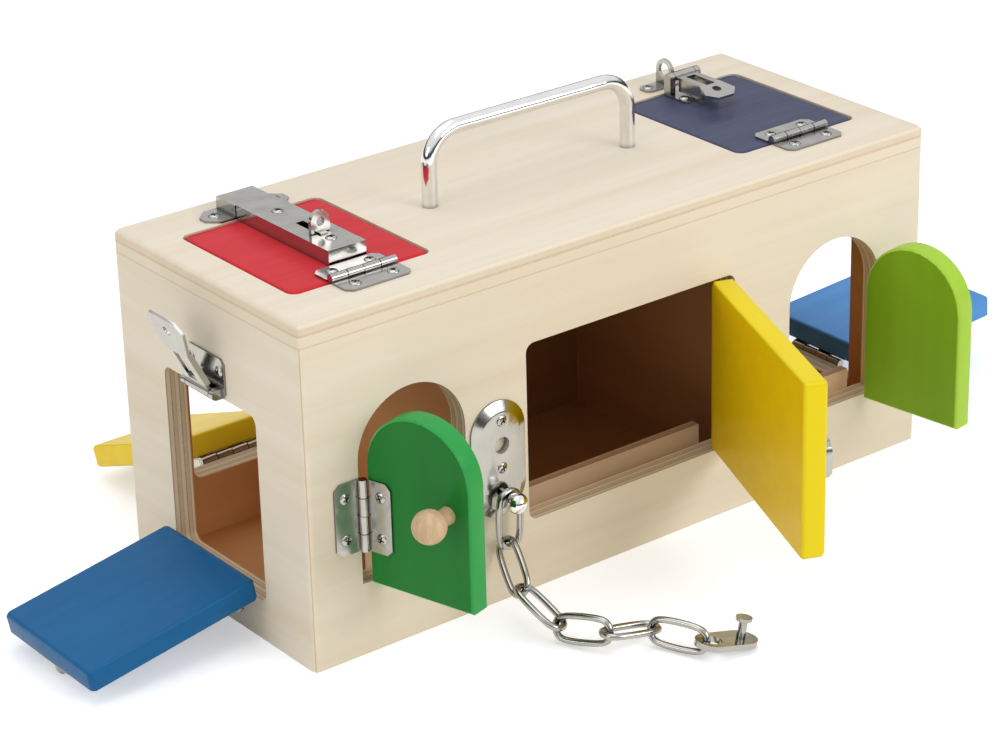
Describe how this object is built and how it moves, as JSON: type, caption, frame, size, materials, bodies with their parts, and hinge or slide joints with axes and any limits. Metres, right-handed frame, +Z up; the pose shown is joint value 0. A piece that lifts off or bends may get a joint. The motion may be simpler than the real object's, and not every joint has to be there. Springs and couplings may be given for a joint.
{
  "type": "toy lock box",
  "caption": "Wooden practice box with hinged doors, flaps and lids, each closed by its own latch, hasp, bolt or chain, and a wire carrying handle on top.",
  "frame": {"origin": "centre of the box's underside, on the surface it stands on", "axes": "+X to the box's right end, -Y to the front with the three doors, +Z up"},
  "size_m": [0.6004, 0.3792, 0.2245],
  "materials": {
    "birch_plywood": "clear satin lacquer",
    "green_paint": "painted satin",
    "yellow_paint": "painted satin",
    "light_green_paint": "painted satin",
    "blue_paint": "painted satin",
    "red_paint": "painted satin",
    "navy_paint": "painted satin",
    "knob_wood": "bare turned wood",
    "nickel": "bright nickel plate"
  },
  "bodies": {
    "box": {"front_wall": "birch_plywood", "rear_wall": "birch_plywood", "left_end_wall": "birch_plywood", "right_end_wall": "birch_plywood", "top_panel": "birch_plywood", "bottom_panel": "birch_plywood", "left_partition": "birch_plywood", "right_partition": "birch_plywood", "stop_strips": "birch_plywood", "carry_handle": "nickel", "handle_screws": "nickel", "hinge_frame_leaves": "nickel", "hinge_pins": "nickel", "red_lock_keeper": "nickel", "navy_hasp_staple": "nickel", "left_hasp_base": "nickel", "right_hasp_base": "nickel", "chain_anchor_plate": "nickel", "chain_anchor_stud": "nickel", "light_green_bolt_keeper": "nickel", "rear_bolt_keeper": "nickel"},
    "green_door": {"green_door": "green_paint", "green_door_hinge_leaf": "nickel", "green_knob": "knob_wood"},
    "yellow_door": {"yellow_door": "yellow_paint", "yellow_door_hinge_leaf": "nickel", "chain_track": "nickel"},
    "light_green_door": {"light_green_door": "light_green_paint", "light_green_door_hinge_leaf": "nickel", "light_green_bolt_body": "nickel"},
    "left_flap": {"left_flap": "blue_paint", "left_flap_hinge_leaf": "nickel", "left_hasp_staple": "nickel"},
    "right_flap": {"right_flap": "blue_paint", "right_flap_hinge_leaf": "nickel", "right_hasp_staple": "nickel"},
    "rear_flap": {"rear_flap": "yellow_paint", "rear_flap_hinge_leaf": "nickel", "rear_bolt_body": "nickel"},
    "red_lid": {"red_lid": "red_paint", "red_lid_hinge_leaf": "nickel", "red_lock_housing": "nickel"},
    "navy_lid": {"navy_lid": "navy_paint", "navy_lid_hinge_leaf": "nickel", "navy_hasp_base": "nickel"},
    "red_lock_bolt": {"red_lock_bolt": "nickel"},
    "navy_hasp_strap": {"navy_hasp_strap": "nickel"},
    "left_hasp_strap": {"left_hasp_strap": "nickel"},
    "right_hasp_strap": {"right_hasp_strap": "nickel"},
    "light_green_bolt": {"light_green_bolt": "nickel"},
    "rear_bolt": {"rear_bolt": "nickel"},
    "chain_link_1": {"chain_link_1": "nickel"},
    "chain_link_2": {"chain_link_2": "nickel"},
    "chain_link_3": {"chain_link_3": "nickel"},
    "chain_link_4": {"chain_link_4": "nickel"},
    "chain_link_5": {"chain_link_5": "nickel"},
    "chain_link_6": {"chain_link_6": "nickel"},
    "chain_end": {"chain_end_button": "nickel"}
  },
  "joints": [
    {"name": "green_door_hinge", "type": "hinge", "parent": "box", "child": "green_door", "pos_m": [-0.1694, -0.0824, 0.0765], "axis": [0, 0, -1], "range_deg": [-73.98, 46]},
    {"name": "yellow_door_hinge", "type": "hinge", "parent": "box", "child": "yellow_door", "pos_m": [0.0674, -0.0824, 0.0765], "axis": [0, 0, 1], "range_deg": [-67.98, 42]},
    {"name": "light_green_door_hinge", "type": "hinge", "parent": "box", "child": "light_green_door", "pos_m": [0.1694, -0.0824, 0.0765], "axis": [0, 0, 1], "range_deg": [-98.48, 21.5]},
    {"name": "left_flap_hinge", "type": "hinge", "parent": "box", "child": "left_flap", "pos_m": [-0.2024, 0, 0.0226], "axis": [0, -1, 0], "range_deg": [-100.06, 0]},
    {"name": "right_flap_hinge", "type": "hinge", "parent": "box", "child": "right_flap", "pos_m": [0.2024, 0, 0.0226], "axis": [0, 1, 0], "range_deg": [-86.48, 13.56]},
    {"name": "rear_flap_hinge", "type": "hinge", "parent": "box", "child": "rear_flap", "pos_m": [-0.138, 0.0824, 0.0391], "axis": [-1, 0, 0], "range_deg": [-111.57, 0]},
    {"name": "red_lid_hinge", "type": "hinge", "parent": "box", "child": "red_lid", "pos_m": [-0.14, -0.0481, 0.1844], "axis": [1, 0, 0], "range_deg": [0, 100]},
    {"name": "navy_lid_hinge", "type": "hinge", "parent": "box", "child": "navy_lid", "pos_m": [0.14, -0.0481, 0.1844], "axis": [1, 0, 0], "range_deg": [0, 100]},
    {"name": "red_lock_slide", "type": "slide", "parent": "red_lid", "child": "red_lock_bolt", "axis": [0, 1, 0], "range_m": [0, 0.013]},
    {"name": "navy_hasp_hinge", "type": "hinge", "parent": "navy_lid", "child": "navy_hasp_strap", "pos_m": [0.14, 0.044, 0.192], "axis": [-1, 0, 0], "range_deg": [0, 180]},
    {"name": "left_hasp_hinge", "type": "hinge", "parent": "box", "child": "left_hasp_strap", "pos_m": [-0.2045, 0, 0.1255], "axis": [0, -1, 0], "range_deg": [-27, 153]},
    {"name": "right_hasp_hinge", "type": "hinge", "parent": "box", "child": "right_hasp_strap", "pos_m": [0.2045, 0, 0.1255], "axis": [0, 1, 0], "range_deg": [0, 180]},
    {"name": "light_green_bolt_slide", "type": "slide", "parent": "light_green_door", "child": "light_green_bolt", "axis": [0.1478, -0.989, 0], "range_m": [0, 0.017]},
    {"name": "rear_bolt_slide", "type": "slide", "parent": "rear_flap", "child": "rear_bolt", "axis": [0, 0.9299, -0.3679], "range_m": [0, 0.009]},
    {"name": "chain_joint_1", "type": "hinge", "parent": "box", "child": "chain_link_1", "pos_m": [-0.087, -0.0884, 0.0603], "axis": [0, -1, 0], "range_deg": [-15, 15]},
    {"name": "chain_joint_2", "type": "hinge", "parent": "chain_link_1", "child": "chain_link_2", "pos_m": [-0.0894, -0.0884, 0.03445], "axis": [0.9336, 0, -0.3584], "range_deg": [-15, 15]},
    {"name": "chain_joint_3", "type": "hinge", "parent": "chain_link_2", "child": "chain_link_3", "pos_m": [-0.09486, -0.10978, 0.02022], "axis": [-0.3323, 0.3746, -0.8656], "range_deg": [-15, 15]},
    {"name": "chain_joint_4", "type": "hinge", "parent": "chain_link_3", "child": "chain_link_4", "pos_m": [-0.0906, -0.1331, 0.00849], "axis": [-0.9075, -0.3771, 0.1851], "range_deg": [-15, 15]},
    {"name": "chain_joint_5", "type": "hinge", "parent": "chain_link_4", "child": "chain_link_5", "pos_m": [-0.07998, -0.15716, 0.01154], "axis": [0.1558, 0.1071, 0.982], "range_deg": [-15, 15]},
    {"name": "chain_joint_6", "type": "hinge", "parent": "chain_link_5", "child": "chain_link_6", "pos_m": [-0.05784, -0.16592, 0.00898], "axis": [0.9005, 0.3931, -0.1858], "range_deg": [-15, 15]},
    {"name": "chain_joint_7", "type": "hinge", "parent": "chain_link_6", "child": "chain_end", "pos_m": [-0.04734, -0.19022, 0.00843], "axis": [-0.2041, 0.005, -0.9789], "range_deg": [-15, 15]}
  ]
}
